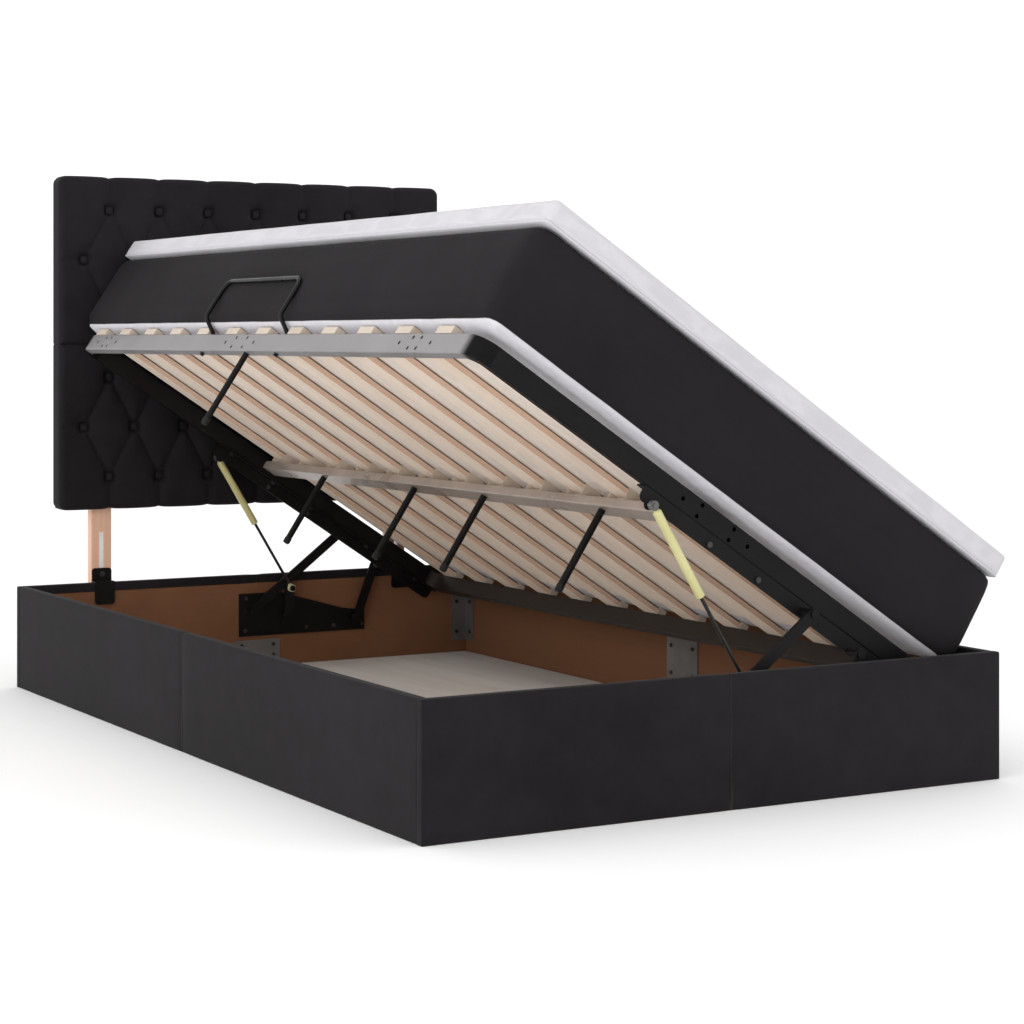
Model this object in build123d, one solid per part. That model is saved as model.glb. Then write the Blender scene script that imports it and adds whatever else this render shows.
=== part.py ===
from build123d import *
import math
import os

# Storage bed: an upholstered box with an upholstered headboard, and a slatted
# platform with mattress and topper that lifts along one long side.
# +X from the opening side to the hinge side, +Y from the foot end to the
# headboard, +Z up. Origin on the floor, at the centre of the box. Millimetres.
# The platform is drawn in its lifted position.

# ---------------------------------------------------------------- dimensions
BOX_L, BOX_W, BOX_H = 2030.0, 1194.0, 233.0   # outside of the box
WALL = 18.8                # wall with its cover
SKIN = 1.2                 # velvet cover
WRAP = 20.0                # how far the cover turns down inside
BOARD = WALL - 2 * SKIN    # bare board

BATTEN_H, FLOOR_T = 4.0, 6.0

HB_W, HB_Z0, HB_Z1, HB_SEAM = 997.0, 405.0, 1185.0, 795.0
HB_FRONT, HB_CORE_Y, HB_BACK = 992.0, 1018.5, 1044.5
LEG_X, LEG_W, LEG_Z0, LEG_Z1 = 390.0, 50.0, 100.0, 650.0
SLOT_W, SLOT_Z0, SLOT_Z1, HB_BOLT_Z = 9.0, 151.0, 351.0, 252.0

TILT = 33.33               # lifted angle of the platform
OPEN_X, OPEN_Z = -452.0, 843.3      # lifted place of the mattress's free lower edge
SHUT_X, SHUT_Z = -573.8, 240.0      # the same edge with the bed closed
MAT_W, MAT_L, MAT_T = 1147.6, 1952.0, 180.0
TOP_T, TOP_OVER = 50.0, 10.0
MAT_CORNER, TOP_CORNER = 27.0, 17.0

RAIL_W, RAIL_H, RAIL_TOP = 20.0, 40.0, -20.0
RING_U0, RING_U1, RING_Y, RING_R = 17.0, 1128.0, 942.0, 45.0
CENTRE_U, CENTRE_W, CENTRE_N0, CENTRE_N1 = 572.5, 40.0, -50.0, -30.0
SLAT_N, SLAT_W, SLAT_T, SLAT_PITCH, SLAT_MID = 12, 54.0, 10.0, 152.0, 29.5
SLAT_TOP, CAP_W, CAP_TOP = -9.8, 57.0, -4.5

SUP_U, SUP_R, SUP_FRONT_R, SUP_END = 568.0, 7.0, 6.0, -226.0
HANDLE_R, HANDLE_Y, HANDLE_MID = 4.5, 185.0, 34.0

BAR_Y, BAR_T, BAR_U0, BAR_LOW = 942.0, 3.0, 428.0, -88.0
STRUT_Y, LINK_Y = 956.0, 975.5
LINK_T, LINK_R = 5.0, 11.0
A1 = (835.0, -76.0)        # front link pivot on the platform (along, above)
B1 = (964.0, -85.0)        # rear link pivot on the platform
S1 = (453.0, -86.0)        # strut pivot on the platform
S0 = (74.0, 200.0)         # strut pivot on the box (X, Z)
LINK_A_ANGLE = 37.5        # slope of the front link when lifted
LINK_B_BACK = 125.0

FOOT_Y = -1.0
HEAD_Y = 1.0
ENDS = (("foot", FOOT_Y), ("head", HEAD_Y))

os.makedirs("parts", exist_ok=True)
nodes = {}


def save(name, *solids):
    out = []
    for s in solids:
        out.extend(s.solids() if hasattr(s, "solids") else [s])
    nodes[name] = out
    export_step(out[0] if len(out) == 1 else Compound(children=out), f"parts/{name}.step")


def box(x0, x1, y0, y1, z0, z1):
    return Pos((x0 + x1) / 2, (y0 + y1) / 2, (z0 + z1) / 2) * Box(
        abs(x1 - x0), abs(y1 - y0), abs(z1 - z0))


def rod_y(x, z, y0, y1, r):
    """Round bar along Y."""
    return Pos(x, (y0 + y1) / 2, z) * Rot(90, 0, 0) * Cylinder(r, abs(y1 - y0))


def rod_x(y, z, x0, x1, r):
    """Round bar along X."""
    return Pos((x0 + x1) / 2, y, z) * Rot(0, 90, 0) * Cylinder(r, abs(x1 - x0))


def rod_z(x, y, z0, z1, r):
    """Round bar along Z."""
    return Pos(x, y, (z0 + z1) / 2) * Cylinder(r, abs(z1 - z0))


def first(s):
    found = s.solids()
    return found[0] if len(found) == 1 else Compound(children=list(found))


# ------------------------------------------------------------- linkage points
TH = math.radians(TILT)
CO, SI = math.cos(TH), math.sin(TH)


def lifted(u, n):
    return (OPEN_X + u * CO + n * SI, OPEN_Z - u * SI + n * CO)


def shut(u, n):
    return (SHUT_X + u, SHUT_Z + n)


def bisector(p):
    """Middle of the two places of a platform point, and the unit normal of their chord."""
    (ox, oz), (cx, cz) = lifted(*p), shut(*p)
    dx, dz = cx - ox, cz - oz
    k = math.hypot(dx, dz)
    nx, nz = -dz / k, dx / k
    if nx < 0:
        nx, nz = -nx, -nz
    return ((ox + cx) / 2, (oz + cz) / 2), (nx, nz)


# the front link's lower pivot is on the bisector, in line with the link's slope
(mx, mz), (nx, nz) = bisector(A1)
ax, az = lifted(*A1)
dx, dz = math.cos(math.radians(LINK_A_ANGLE)), math.sin(math.radians(LINK_A_ANGLE))
det = -dx * nz + dz * nx
length_a = ((mx - ax) * nz - (mz - az) * nx) / det
A0 = (ax - length_a * dx, az - length_a * dz)
# the rear link's lower pivot is behind its bisector
(mx, mz), (nx, nz) = bisector(B1)
B0 = (mx - LINK_B_BACK * nx, mz - LINK_B_BACK * nz)


def place(part):
    """From platform coordinates (along, across, above) to the lifted position."""
    return Location((OPEN_X, 0, OPEN_Z), (0, TILT, 0)) * part


# ------------------------------------------------------------------ box walls
XO, YO = BOX_W / 2, BOX_L / 2
XI, YI = XO - WALL, YO - WALL
GAP = 0.3
PLATE_T = 3.0
SCREW_R, SCREW_HEAD_R, SCREW_L = 2.0, 4.5, 9.0


def wall(axis, side, lo, hi):
    """Board and cover of one half wall: axis is the direction it faces."""
    out = XO if axis == "x" else YO

    def slab(a0, a1, z0, z1):
        p0, p1 = side * (out - a0), side * (out - a1)
        p0, p1 = min(p0, p1), max(p0, p1)
        if axis == "x":
            return box(p0, p1, lo, hi, z0, z1)
        return box(lo, hi, p0, p1, z0, z1)

    board = slab(SKIN, SKIN + BOARD, 0, BOX_H - SKIN)
    cover = slab(0, SKIN, 0, BOX_H) + slab(SKIN, SKIN + BOARD, BOX_H - SKIN, BOX_H) \
        + slab(SKIN + BOARD, WALL, BOX_H - WRAP, BOX_H)
    return board, cover


walls = {
    "side_board_open_foot": wall("x", -1, -YI + GAP, -GAP / 2),
    "side_board_open_head": wall("x", -1, GAP / 2, YI - GAP),
    "side_board_hinge_foot": wall("x", 1, -YI + GAP, -GAP / 2),
    "side_board_hinge_head": wall("x", 1, GAP / 2, YI - GAP),
    "foot_board_open": wall("y", -1, -XO, -GAP / 2),
    "foot_board_hinge": wall("y", -1, GAP / 2, XO),
    "head_board_open": wall("y", 1, -XO, -GAP / 2),
    "head_board_hinge": wall("y", 1, GAP / 2, XO),
}
XB, YB = XI + SKIN, YI + SKIN          # faces of the bare boards, below the wrap

# steel angles in the corners, and flat plates across the seams
angles, seams, screws, screw_cuts = [], [], [], []
AZ0, AZ1, AL = 40.0, 160.0, 42.0


def screw(x, z_or_y, zz, axis, sign, seat):
    """Pan-head screw into a wall: sign points into the wall, seat is the head's seat."""
    if axis == "x":
        shank = rod_x(z_or_y, zz, seat, seat + sign * SCREW_L, SCREW_R)
        head = rod_x(z_or_y, zz, seat - sign * 2.4, seat, SCREW_HEAD_R)
    else:
        shank = rod_y(x, zz, seat, seat + sign * SCREW_L, SCREW_R)
        head = rod_y(x, zz, seat - sign * 2.4, seat, SCREW_HEAD_R)
    screws.append(first(shank + head))
    screw_cuts.append(shank)


for sx in (-1, 1):
    for sy in (-1, 1):
        x1, y1 = sx * XB, sy * YB
        a = box(min(x1, x1 - sx * AL), max(x1, x1 - sx * AL),
                min(y1, y1 - sy * PLATE_T), max(y1, y1 - sy * PLATE_T), AZ0, AZ1)
        b = box(min(x1, x1 - sx * PLATE_T), max(x1, x1 - sx * PLATE_T),
                min(y1, y1 - sy * AL), max(y1, y1 - sy * AL), AZ0, AZ1)
        angles.append(a + b)
        for z in (62.0, 138.0):
            screw(0, y1 - sy * 28, z, "x", sx, x1 - sx * PLATE_T)
            screw(x1 - sx * 28, 0, z, "y", sy, y1 - sy * PLATE_T)
for sx in (-1, 1):
    x1 = sx * XB
    seams.append(box(min(x1, x1 - sx * PLATE_T), max(x1, x1 - sx * PLATE_T), -60, 60, 50, 150))
    for y in (-42.0, 42.0):
        for z in (70.0, 130.0):
            screw(0, y, z, "x", sx, x1 - sx * PLATE_T)
for sy in (-1, 1):
    y1 = sy * YB
    seams.append(box(-60, 60, min(y1, y1 - sy * PLATE_T), max(y1, y1 - sy * PLATE_T), 24, 74))
    for x in (-42.0, 42.0):
        for z in (36.0, 62.0):
            screw(x, 0, z, "y", sy, y1 - sy * PLATE_T)

# ---------------------------------------------- fixed plates of the lift hinge
PL_X0, PL_X1, PL_Z0, PL_Z1 = -48.0, 290.0, 84.0, 188.0
for end, sy in ENDS:
    y_wall, y_face = sy * YB, sy * (YB - PLATE_T)
    pts = [(PL_X0, PL_Z0), (PL_X1, PL_Z0), (PL_X1, 132.0), (B0[0] - 30, 140.0),
           (60.0, PL_Z1), (PL_X0, PL_Z1)]
    prof = Plane.XZ * make_face(Polyline(*pts, close=True))
    plate = extrude(prof, PLATE_T)           # grows towards -Y
    plate = Pos(0, (y_wall if sy < 0 else y_wall) + (PLATE_T if sy < 0 else 0), 0) * plate
    studs = None
    for (px, pz) in (A0, B0):
        shoulder = rod_y(px, pz, y_face, sy * (LINK_Y + LINK_T / 2 + 0.3), 9.0)
        pin = rod_y(px, pz, sy * (LINK_Y + LINK_T / 2 + 0.3), sy * (LINK_Y - LINK_T / 2 - 0.3), 5.0)
        cap = rod_y(px, pz, sy * (LINK_Y - LINK_T / 2 - 0.3), sy * (LINK_Y - LINK_T / 2 - 2.6), 8.5)
        plate = plate + shoulder + pin + cap
    for (x, z) in ((PL_X0 + 16, 98.0), (130.0, 98.0), (205.0, 98.0), (PL_X1 - 8, 98.0), (-30.0, 176.0)):
        screw(x, 0, z, "y", sy, y_face)
        plate = plate - rod_y(x, z, y_wall, y_face, SCREW_R)
    save(f"lift_plate_{end}", first(plate))

    # cranked strip that carries the strut's lower stud past the link
    x0, x1 = S0[0] - 12, S0[0] + 12
    y_out, y_in = y_face, sy * 968.0
    foot = box(x0, x1, min(y_out, y_out - sy * 3), max(y_out, y_out - sy * 3), 90, 133)
    web = box(x0, x1, min(y_out, y_in), max(y_out, y_in), 130, 133)
    arm = box(x0, x1, min(y_in, y_in + sy * 3), max(y_in, y_in + sy * 3), 130, S0[1])
    knob = rod_y(S0[0], S0[1], y_in, y_in + sy * 3, 12.0)
    stud = rod_y(S0[0], S0[1], y_in, sy * 950.6, 4.6)
    cap = rod_y(S0[0], S0[1], sy * 950.6, sy * 948.4, 7.0)
    save(f"strut_bracket_{end}", first(foot + web + arm + knob + stud + cap))

# screws pass through angles, seam plates and hinge plates into the boards
cutters = screw_cuts


def near(cut, solid):
    a, b = cut.bounding_box(), solid.bounding_box()
    return all(getattr(a.min, k) < getattr(b.max, k) and getattr(a.max, k) > getattr(b.min, k)
               for k in ("X", "Y", "Z"))


for name, (board, cover) in walls.items():
    for c in cutters:
        if near(c, board):
            board = board - c
    save(name, first(board))
    save(name.replace("_board", "_cover"), first(cover))
save("panel_screws", *screws)


def drilled(solid):
    for c in cutters:
        if near(c, solid):
            solid = solid - c
    return first(solid)


save("corner_brackets", *[drilled(a) for a in angles])
save("joining_plates", *[drilled(s) for s in seams])

# ---------------------------------------------------------- floor of the box
battens = []
for x in (-XB + 20.5, -290.0, 0.0, 290.0, XB - 20.5):
    battens.append(box(x - 20, x + 20, -YB + 2, YB - 2, 0, BATTEN_H))
save("base_battens", *[first(b) for b in battens])
for end, sy in ENDS:
    lo, hi = sorted((sy * 0.5, sy * (YB - 1)))
    save(f"base_board_{end}", first(box(-XB + 1, XB - 1, lo, hi, BATTEN_H, BATTEN_H + FLOOR_T)))

# ----------------------------------------------------------------- headboard
HX = HB_W / 2
pads, buttons = {}, []
BX, BY = 18.0, 5.0            # button side and thickness
ROW_A = [-HX + HB_W * (k + 1) / 8 for k in range(7)]
ROW_B = [-HX + HB_W * (k + 0.5) / 8 for k in range(8)]
for part, z0, z1 in (("lower", HB_Z0, HB_SEAM - 0.4), ("upper", HB_SEAM + 0.4, HB_Z1)):
    pad = box(-HX, HX, HB_FRONT, HB_CORE_Y - 0.2, z0, z1)
    pad = fillet(pad.edges().filter_by(Axis.Y), 14)
    pad = fillet(pad.faces().sort_by(Axis.Y)[0].edges(), 12)
    zc = (z0 + z1) / 2
    for dz, xs in ((114.0, ROW_A), (0.0, ROW_B), (-114.0, ROW_A)):
        for x in xs:
            pad = pad - box(x - 13, x + 13, HB_FRONT - 1, HB_FRONT + 13, zc + dz - 13, zc + dz + 13)
            b = box(x - BX / 2, x + BX / 2, HB_FRONT + 13 - BY, HB_FRONT + 13,
                    zc + dz - BX / 2, zc + dz + BX / 2)
            buttons.append(first(fillet(b.edges().filter_by(Axis.Y), 4)))
    save(f"headboard_{part}_pad", first(pad))
    core = box(-HX + 4, HX - 4, HB_CORE_Y, HB_BACK, z0 + 4, z1 - 0.2 if part == "lower" else z1 - 4)
    if part == "lower":
        for sx in (-1, 1):
            core = core - box(sx * LEG_X - LEG_W / 2 - 0.3, sx * LEG_X + LEG_W / 2 + 0.3,
                              HB_CORE_Y - 1, HB_BACK + 1, z0, LEG_Z1 + 0.3)
    save(f"headboard_{part}_core", first(core))
save("headboard_buttons", *buttons)

hb_legs = []
for sx in (-1, 1):
    leg = box(sx * LEG_X - LEG_W / 2, sx * LEG_X + LEG_W / 2, HB_CORE_Y, HB_BACK, LEG_Z0, LEG_Z1)
    leg = fillet(leg.edges().filter_by(Axis.Z), 2)
    slot = box(sx * LEG_X - SLOT_W / 2, sx * LEG_X + SLOT_W / 2, HB_CORE_Y - 1, HB_BACK + 1,
               SLOT_Z0 + SLOT_W / 2, SLOT_Z1 - SLOT_W / 2)
    for z in (SLOT_Z0 + SLOT_W / 2, SLOT_Z1 - SLOT_W / 2):
        slot = slot + rod_y(sx * LEG_X, z, HB_CORE_Y - 1, HB_BACK + 1, SLOT_W / 2)
    hb_legs.append(first(leg - slot))
save("headboard_legs", *hb_legs)

# steel strips on the back: across the legs, and from the lower panel to the upper one
strips = []
for sx in (-1, 1):
    strips.append(box(sx * LEG_X - 70, sx * LEG_X + 70, HB_BACK, HB_BACK + 2.5, 470, 500))
    strips.append(box(sx * LEG_X - 70, sx * LEG_X + 70, HB_BACK, HB_BACK + 2.5, 590, 620))
    strips.append(box(sx * LEG_X - 15, sx * LEG_X + 15, HB_BACK, HB_BACK + 2.5, 700, 900))
strips.append(box(-15, 15, HB_BACK, HB_BACK + 2.5, 700, 900))
save("headboard_strips", *[first(s) for s in strips])

# cranked clips that hang on the head wall, and the bolts that clamp the legs
clips, bolts = [], []
for sx in (-1, 1):
    cx = sx * LEG_X
    inner = box(cx - 24, cx + 24, YI - 3, YI, 182, BOX_H + 3)
    inner = fillet(inner.edges().filter_by(Axis.Y).sort_by(Axis.Z)[:2], 8)
    step = box(cx - 24, cx + 24, YI - 3, HB_CORE_Y - 0.2, BOX_H, BOX_H + 3)
    upper = box(cx - 24, cx + 24, HB_CORE_Y - 3.2, HB_CORE_Y - 0.2, BOX_H, 266)
    upper = fillet(upper.edges().filter_by(Axis.Y).sort_by(Axis.Z)[-2:], 8)
    clip = inner + step + upper - rod_y(cx, HB_BOLT_Z, 1000, 1030, 4.0)
    clips.append(first(clip))
    shank = rod_y(cx, HB_BOLT_Z, HB_CORE_Y - 3.2, HB_BACK + 9.5, 4.0)
    head = Pos(cx, HB_CORE_Y - 3.2, HB_BOLT_Z) * Rot(90, 0, 0) * extrude(RegularPolygon(7, 6), 4.2)
    nut = Pos(cx, HB_BACK + 8.3, HB_BOLT_Z) * Rot(90, 0, 0) * extrude(RegularPolygon(7.5, 6), 6.3)
    washer = rod_y(cx, HB_BOLT_Z, HB_BACK + 0.2, HB_BACK + 2.0, 10.0)
    bolts.append(first(shank + head + nut + washer))
save("headboard_clips", *clips)
save("headboard_bolts", *bolts)

# ------------------------------------------------------- platform steel frame
RC = (RING_U0 + RING_U1) / 2
RL = RING_U1 - RING_U0


def ring(inset, z0, z1):
    outer = Pos(RC, 0, z0) * extrude(RectangleRounded(RL - 2 * inset, 2 * RING_Y - 2 * inset,
                                                      RING_R - inset), z1 - z0)
    w = RAIL_W - inset
    inner = Pos(RC, 0, z0) * extrude(RectangleRounded(RL - 2 * w, 2 * RING_Y - 2 * w,
                                                      RING_R - w), z1 - z0)
    return outer - inner


R_TOP, R_BOT = RAIL_TOP, RAIL_TOP - RAIL_H
solid_ring = ring(0, R_BOT, R_TOP)
long_edges = [e for e in solid_ring.edges()
              if abs(e.center().Z - R_TOP) < 0.01 or abs(e.center().Z - R_BOT) < 0.01]
solid_ring = fillet(long_edges, 3)
tube = solid_ring - ring(1.6, R_BOT + 1.6, R_TOP - 1.6)

HOLE_R = 4.0
HOLE_N = 11.0                             # outer rows of a group, from mid height
# hole groups along the raised rail: middle, outer and inner half spacing
HOLE_GROUPS = ((792.5, 58.0, 15.5), (35.5, 70.0, 27.0), (-724.0, 58.0, 15.5))
END_GROUP = (588.0, 81.0, 40.0)           # the same on the foot and head rails
NM = (R_TOP + R_BOT) / 2


def hole_set(mid, a, b):
    return [(mid - a, NM), (mid + a, NM)] + [
        (mid + i * b, NM + j * HOLE_N) for i in (-1, 1) for j in (-1, 1)]


for group in HOLE_GROUPS:
    for (y, n) in hole_set(*group):
        tube = tube - rod_x(y, n, RING_U0 - 2, RING_U0 + 4, HOLE_R)
        tube = tube - rod_x(y, n, RING_U1 - 4, RING_U1 + 2, HOLE_R)
for sy in (-1, 1):
    for (u, n) in hole_set(*END_GROUP):
        tube = tube - rod_y(u, n, sy * (RING_Y + 2), sy * (RING_Y - 4), HOLE_R)
# the lifting handle's rods pass down through the raised rail
for sy in (-1, 1):
    tube = tube - rod_z(27.0, HANDLE_MID + sy * HANDLE_Y, R_BOT - 2, R_TOP + 2, HANDLE_R + 0.3)

CUT0, CUT1 = RING_U0 + RING_R, RING_U1 - RING_R
cut_lo = box(-100, CUT0, -1100, 1100, -100, 20)
cut_hi = box(CUT1, 1300, -1100, 1100, -100, 20)
cut_foot = box(CUT0, CUT1, -1100, 0, -100, 20)
cut_head = box(CUT0, CUT1, 0, 1100, -100, 20)
save("frame_rail_open", place(first(tube & cut_lo)))
save("frame_rail_hinge", place(first(tube & cut_hi)))
save("frame_rail_foot", place(first(tube & cut_foot)))
save("frame_rail_head", place(first(tube & cut_head)))

inner_y = RING_Y - RAIL_W
CENTRE_H = CENTRE_N1 - CENTRE_N0
centre = Pos(CENTRE_U, 0, CENTRE_N0) * extrude(Rectangle(CENTRE_W, 2 * inner_y - 0.4), CENTRE_H)
centre = fillet(centre.edges().filter_by(Axis.Y), 3)
centre = centre - Pos(CENTRE_U, 0, CENTRE_N0 + 1.6) * extrude(
    Rectangle(CENTRE_W - 3.2, 2 * inner_y - 3.6), CENTRE_H - 3.2)
for (y, du) in ((9.0, -11.0), (-4.0, -11.0), (14.0, 12.5), (-17.0, 12.5)):
    centre = centre - rod_z(CENTRE_U + du, y, CENTRE_N0 - 2, CENTRE_N0 + 4, 3.2)
save("frame_rail_centre", place(first(centre)))

# --------------------------------------------------------------------- slats
slat_y = [SLAT_MID + (-(SLAT_N - 1) / 2 + k) * SLAT_PITCH for k in range(SLAT_N)]
SLAT_END = 1.5                            # half the gap between the two rows
rows = {"open": (22.0, CENTRE_U - SLAT_END), "hinge": (CENTRE_U + SLAT_END, 1123.0)}
for row, (u0, u1) in rows.items():
    save(f"slats_{row}_row", *[place(first(box(u0, u1, y - SLAT_W / 2, y + SLAT_W / 2,
                                               SLAT_TOP - SLAT_T, SLAT_TOP))) for y in slat_y])


def cap(u0, u1, y, n0, pockets):
    """Holder over the ends of the slats, with one pocket for each slat."""
    c = box(u0, u1, y - CAP_W / 2, y + CAP_W / 2, n0, CAP_TOP)
    top = [e for e in c.edges() if abs(e.center().Z - CAP_TOP) < 0.01]
    c = fillet(top, 1.2)
    for (a, b) in pockets:
        c = c - box(a, b, y - SLAT_W / 2 - 0.15, y + SLAT_W / 2 + 0.15,
                    n0 - 1, SLAT_TOP + 0.15)
    return place(first(c))


C_CAP = 19.5
save("slat_caps_side",
     *([cap(17.5, 37.0, y, RAIL_TOP, [(21.8, 38)]) for y in slat_y]
       + [cap(1108.0, 1127.5, y, RAIL_TOP, [(1107, 1123.2)]) for y in slat_y]))
save("slat_caps_centre",
     *[cap(CENTRE_U - C_CAP, CENTRE_U + C_CAP, y, CENTRE_N1,
           [(CENTRE_U - C_CAP - 1, CENTRE_U - SLAT_END + 0.2),
            (CENTRE_U + SLAT_END - 0.2, CENTRE_U + C_CAP + 1)]) for y in slat_y])

# ------------------------------------------------------------- support legs
sup_places = [(SUP_U, y, CENTRE_N0, SUP_R) for y in (-604.0, -152.0, 152.0, 604.0)]
sup_places.append((27.5, -6.0, R_BOT, SUP_FRONT_R))
legs, feet = [], []
for (u, y, top_n, r) in sup_places:
    legs.append(place(first(rod_z(u, y, SUP_END + 14, top_n, r))))
    f = rod_z(u, y, SUP_END, SUP_END + 14, r + 0.8)
    f = fillet(f.faces().sort_by(Axis.Z)[0].edges(), 4)
    feet.append(place(first(f)))
save("support_legs", *legs)
save("support_feet", *feet)

# -------------------------------------------------------------- lift handle
H_TOP = 94.0
y0, y1 = HANDLE_MID - HANDLE_Y, HANDLE_MID + HANDLE_Y
pts = [(27, y0, -66), (27, y0, -15.5), (-7.5, y0, 6), (-7.5, y0, H_TOP),
       (-7.5, y1, H_TOP), (-7.5, y1, 6), (27, y1, -15.5), (27, y1, -66)]
path = FilletPolyline(*pts, radius=[9, 14, 26, 26, 14, 9])
handle = sweep(Plane(origin=pts[0], z_dir=(0, 0, 1)) * Circle(HANDLE_R), path=path)
save("lift_handle", place(first(handle)))

# ---------------------------------------------- hinge side of the platform
bolt_heads = []
for end, sy in ENDS:
    y_out, y_in = sy * BAR_Y, sy * (BAR_Y - BAR_T)
    bar = box(BAR_U0, 1120, min(y_out, y_in), max(y_out, y_in), BAR_LOW, R_BOT - 0.2)
    bar = fillet(bar.edges().filter_by(Axis.Y).sort_by(Axis.Z)[:2], 12)
    shelf = box(BAR_U0, 1120, min(y_out, sy * (BAR_Y - 26)), max(y_out, sy * (BAR_Y - 26)),
                R_BOT - 0.2 - BAR_T, R_BOT - 0.2)
    bar = bar + shelf
    # the bar is deeper behind the strut's pivot
    bar = bar + rod_y(S1[0], S1[1], y_in, y_out, 9.0)
    # stud of the front link, with its distance sleeve
    (u, n) = A1
    bar = bar + rod_y(u, n, y_in, sy * (LINK_Y - LINK_T / 2 - 0.3), 8.0)
    bar = bar + rod_y(u, n, sy * (LINK_Y - LINK_T / 2 - 0.3), sy * (LINK_Y + LINK_T / 2 + 0.3), 5.0)
    bar = bar + rod_y(u, n, sy * (LINK_Y + LINK_T / 2 + 0.3), sy * (LINK_Y + LINK_T / 2 + 3.0), 8.0)
    for u in (470.0, 600.0, 718.0, 900.0, 1060.0):
        shank = rod_z(u, sy * (BAR_Y - 10), R_BOT - 0.2 - BAR_T, R_BOT - 0.2, 3.0)
        bar = bar - shank
        head = Pos(u, sy * (BAR_Y - 10), R_BOT - 0.2 - BAR_T - 4) * extrude(RegularPolygon(6, 6), 4)
        bolt_heads.append(place(first(head + shank)))
    # bolts across the bar, with heads outside and nuts inside
    for (u, n) in ((597.0, -79.0), (720.0, -78.0)):
        shank = rod_y(u, n, y_in, y_out, 3.0)
        bar = bar - shank
        head = Pos(u, y_out + (3.6 if sy > 0 else 0), n) * Rot(90, 0, 0) * extrude(RegularPolygon(6, 6), 3.6)
        nut = Pos(u, y_in + (4.0 if sy < 0 else 0), n) * Rot(90, 0, 0) * extrude(RegularPolygon(5.5, 6), 4.0)
        bolt_heads.append(place(first(head + shank + nut)))
    save(f"lift_bar_{end}", place(first(bar)))
save("lift_bar_bolts", *bolt_heads)

# -------------------------------------------------------------- front links


def flat_link(p, q, y, r, t, bores):
    """Flat bar with round ends between two pivots, in the plane of constant Y."""
    vx, vz = q[0] - p[0], q[1] - p[1]
    k = math.hypot(vx, vz)
    ang = math.degrees(math.atan2(vz, vx))
    body = box(0, k, -t / 2, t / 2, -r, r) + rod_y(0, 0, -t / 2, t / 2, r) + rod_y(k, 0, -t / 2, t / 2, r)
    for (d, br) in bores:
        body = body - rod_y(d * k, 0, -t, t, br)
    return Location((p[0], y, p[1]), (0, -ang, 0)) * body


A1L, B1L, S1L = lifted(*A1), lifted(*B1), lifted(*S1)
for end, sy in ENDS:
    save(f"link_arm_{end}", first(flat_link(A0, A1L, sy * LINK_Y, LINK_R, LINK_T, [(0, 5.1), (1, 5.1)])))
    # rear link with its upper pin, which stops just short of the bar
    link = flat_link(B0, B1L, sy * LINK_Y, LINK_R, LINK_T, [(0, 5.1)])
    link = link + rod_y(B1L[0], B1L[1], sy * (BAR_Y + 0.5), sy * (LINK_Y + LINK_T / 2), 6.0)
    link = link + rod_y(B1L[0], B1L[1], sy * (LINK_Y + LINK_T / 2), sy * (LINK_Y + LINK_T / 2 + 2.5), 8.0)
    save(f"rear_link_{end}", first(link))

# ------------------------------------------------------------------- struts
sdx, sdz = S1L[0] - S0[0], S1L[1] - S0[1]
S_LEN = math.hypot(sdx, sdz)
S_ANG = math.degrees(math.atan2(sdz, sdx))
SHUT_LEN = math.hypot(shut(*S1)[0] - S0[0], shut(*S1)[1] - S0[1])
CYL_TOP, CYL_LEN = 12.0, 176.9           # from the upper pivot down
ROD_R, CYL_R = 3.4, 8.2
ROD_END = SHUT_LEN - 5.4                 # the rod just fits in the closed strut


def along(part, sy):
    """Drawn along +X from the lower pivot; placed on the strut's line."""
    return Location((S0[0], sy * STRUT_Y, S0[1]), (0, -S_ANG, 0)) * part


for end, sy in ENDS:
    cyl0 = S_LEN - CYL_TOP - CYL_LEN
    # piston rod with its lower eye; it runs inside the cylinder
    rod = rod_x(0, 0, 5, ROD_END, ROD_R)
    fitting = rod_x(0, 0, 6, 10.5, 5.0)
    eye = rod_y(0, 0, -4.8, 4.8, 9.0)
    rod = rod + fitting + eye - rod_y(0, 0, -12, 12, 4.7)
    save(f"strut_rod_{end}", first(along(rod, sy)))
    cyl = rod_x(0, 0, cyl0, S_LEN - CYL_TOP, CYL_R)
    cyl = fillet(cyl.edges().filter_by(GeomType.CIRCLE), 2.0)
    neck = rod_x(0, 0, S_LEN - CYL_TOP - 1, S_LEN - 5, 5.4)
    top = rod_y(S_LEN, 0, -5, 5, 8.3)
    # upper pin, which stops just short of the bar
    pin = rod_y(S_LEN, 0, -sy * (STRUT_Y - BAR_Y - 0.5), sy * 8.0, 4.4)
    cyl = cyl + neck + top + pin - rod_x(0, 0, cyl0 - 1, S_LEN - 5.0, ROD_R + 0.3)
    save(f"strut_cylinder_{end}", first(along(cyl, sy)))

# ------------------------------------------------------- mattress and topper


def pad_block(u0, u1, y, n0, n1, corner, edge):
    p = Pos((u0 + u1) / 2, 0, n0) * extrude(RectangleRounded(u1 - u0, 2 * y, corner), n1 - n0)
    rim = [e for e in p.edges() if abs(e.center().Z - n0) < 0.01 or abs(e.center().Z - n1) < 0.01]
    return fillet(rim, edge)


def hollow(outer, u0, u1, y, n0, n1, corner, wall):
    core = Pos((u0 + u1) / 2, 0, n0 + wall) * extrude(
        RectangleRounded(u1 - u0 - 2 * wall, 2 * y - 2 * wall, corner - wall), n1 - n0 - 2 * wall)
    return outer - core


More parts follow.
